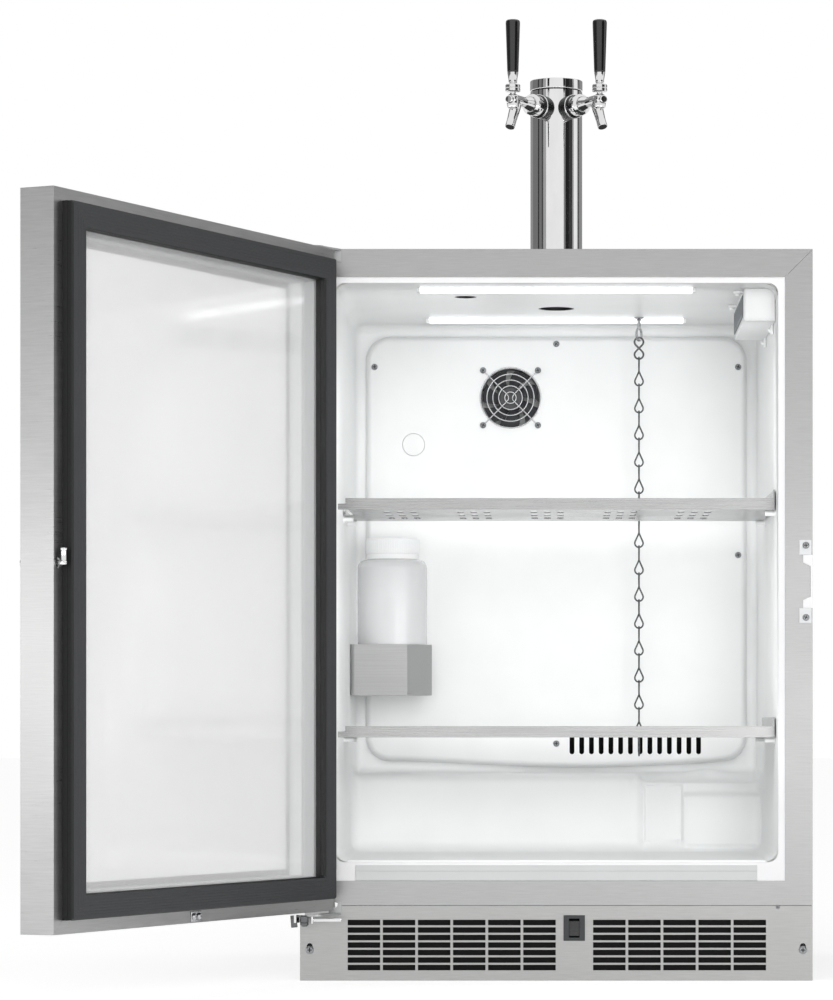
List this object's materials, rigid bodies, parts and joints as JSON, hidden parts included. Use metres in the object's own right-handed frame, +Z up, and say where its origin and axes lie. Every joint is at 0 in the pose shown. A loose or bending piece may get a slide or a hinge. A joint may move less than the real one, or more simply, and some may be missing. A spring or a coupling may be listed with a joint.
{
  "type": "draft beer dispenser",
  "caption": "Undercounter draft beer cooler with an open glass door, louvred grille, shelves, drain bottle and chain inside, and a chrome tower with pull taps on top.",
  "frame": {"origin": "on the floor, at the middle of the cabinet's front face plane, on the folded foot of the grille panel", "axes": "+Z up, +Y from the front face into the cabinet, +X to the right as seen by someone facing the open cabinet; modelled in the pictured pose, with the door open"},
  "size_m": [0.8625, 1.1419, 1.171],
  "materials": {
    "black_enamel": "satin black paint on steel sheet",
    "dark_sheet": "dark grey paint on steel sheet",
    "black_plastic": "matt black moulded plastic",
    "zinc_sheet": "zinc coated steel sheet",
    "foam": "rigid foam, hidden",
    "white_liner": "cool white satin moulded plastic",
    "white_strip": "white extruded plastic",
    "pale_sill": "pale grey plastic",
    "stainless": "stainless steel with a fine upright brushing",
    "stainless_door": "stainless steel with a fine brushing",
    "shelf_steel": "brushed stainless steel",
    "screw_steel": "bright zinc plate",
    "bezel_grey": "dark grey plastic",
    "gloss_black": "glossy black plastic",
    "pump_black": "black enamel",
    "rubber_black": "black rubber",
    "copper_coil": "copper tube and fins",
    "fin_aluminium": "bare aluminium fins",
    "fan_plastic": "dark grey moulded plastic",
    "cover_white": "cool white satin moulded plastic",
    "wire_chrome": "bright chrome plate",
    "housing_white": "white moulded plastic",
    "panel_grey": "grey label stock, blank",
    "lamp_white": "opal white diffuser",
    "bottle_plastic": "translucent milky plastic",
    "cap_plastic": "white ribbed plastic",
    "chain_steel": "bright zinc plated wire",
    "strike_steel": "satin steel",
    "strike_plastic": "white plastic",
    "hinge_steel": "satin steel",
    "core_plastic": "grey extruded plastic",
    "door_glass": "clear glass, milky in the light",
    "spacer_bar": "pale grey spacer bar",
    "carrier_black": "black extruded carrier",
    "gasket_grey": "dark grey vinyl",
    "tower_chrome": "polished stainless steel",
    "tap_chrome": "polished chrome plate"
  },
  "bodies": {
    "cabinet": {"cabinet_shell": "black_enamel", "rear_cover": "dark_sheet", "cord_gland": "black_plastic", "base_pan": "zinc_sheet", "levelling_feet": "black_plastic", "insulation_foam": "foam", "inner_liner": "white_liner", "breaker_strip": "white_strip", "threshold_plate": "pale_sill", "face_frame": "stainless", "grille_panel": "stainless", "screws": "screw_steel", "switch_housing": "bezel_grey", "compressor": "pump_black", "compressor_mounts": "rubber_black", "condenser_coil": "copper_coil", "evaporator_coil": "fin_aluminium", "fan_frames": "fan_plastic", "evaporator_cover": "cover_white", "fan_guard": "wire_chrome", "control_housing": "housing_white", "control_panel": "panel_grey", "led_bars": "lamp_white", "shelf_clips": "screw_steel", "bottle_bracket": "shelf_steel", "drain_bottle": "bottle_plastic", "bottle_cap": "cap_plastic", "chain_anchor": "chain_steel", "lock_strike": "strike_steel", "strike_insert": "strike_plastic", "hinge_brackets": "hinge_steel", "roof_sleeves": "black_plastic", "tower_flange": "tower_chrome", "tower_column": "tower_chrome", "tower_cap": "tower_chrome", "tap_shanks": "black_plastic", "coupling_nuts": "tap_chrome", "faucet_bodies": "tap_chrome"},
    "door": {"door_skin": "stainless_door", "door_core": "core_plastic", "glass_panes": "door_glass", "glass_spacer": "spacer_bar", "gasket_carrier": "carrier_black", "door_gasket": "gasket_grey", "door_hinge_plates": "screw_steel", "door_stop_pad": "strike_steel", "lock_cylinder": "screw_steel"},
    "door_lock_cam": {"lock_cam": "screw_steel"},
    "power_switch": {"switch_rocker": "gloss_black"},
    "condenser_fan": {"condenser_fan_blade": "fan_plastic"},
    "evaporator_fan": {"evaporator_fan_blade": "fan_plastic"},
    "shelf_upper": {"upper_shelf": "shelf_steel"},
    "shelf_lower": {"lower_shelf": "shelf_steel"},
    "hanging_chain": {"s_hooks": "chain_steel", "chain_links": "chain_steel"},
    "tap_left": {"left_lever": "tap_chrome", "left_handle": "gloss_black"},
    "tap_right": {"right_lever": "tap_chrome", "right_handle": "gloss_black"}
  },
  "joints": [
    {"name": "door_swing", "type": "hinge", "parent": "cabinet", "child": "door", "pos_m": [-0.2838, -0.0296, 0.47], "axis": [0, 0, -1], "range_deg": [-115.6, 0]},
    {"name": "lock_turn", "type": "hinge", "parent": "door", "child": "door_lock_cam", "pos_m": [-0.53151, -0.54662, 0.471], "axis": [0.9018, -0.4321, 0], "range_deg": [0, 90]},
    {"name": "switch_rock", "type": "hinge", "parent": "cabinet", "child": "power_switch", "pos_m": [0.0212, 0.005, 0.0622], "axis": [-1, 0, 0], "range_deg": [0, 16]},
    {"name": "condenser_fan_spin", "type": "hinge", "parent": "cabinet", "child": "condenser_fan", "pos_m": [0.145, 0.0925, 0.0586], "axis": [0, 1, 0], "continuous": true},
    {"name": "evaporator_fan_spin", "type": "hinge", "parent": "cabinet", "child": "evaporator_fan", "pos_m": [-0.0597, 0.48505, 0.7285], "axis": [0, 1, 0], "continuous": true},
    {"name": "upper_shelf_slide", "type": "slide", "parent": "cabinet", "child": "shelf_upper", "axis": [0, -1, 0], "range_m": [0, 0.08]},
    {"name": "lower_shelf_slide", "type": "slide", "parent": "cabinet", "child": "shelf_lower", "axis": [0, -1, 0], "range_m": [0, 0.08]},
    {"name": "chain_sway", "type": "hinge", "parent": "cabinet", "child": "hanging_chain", "pos_m": [0.106, 0.388, 0.795], "axis": [0, 1, 0], "range_deg": [-8, 8]},
    {"name": "left_tap_pull", "type": "hinge", "parent": "cabinet", "child": "tap_left", "pos_m": [-0.05351, 0.19319, 1.0729], "axis": [0.8686, -0.4955, 0], "range_deg": [0, 30]},
    {"name": "right_tap_pull", "type": "hinge", "parent": "cabinet", "child": "tap_right", "pos_m": [0.05351, 0.19319, 1.0729], "axis": [0.8686, 0.4955, 0], "range_deg": [0, 30]}
  ]
}
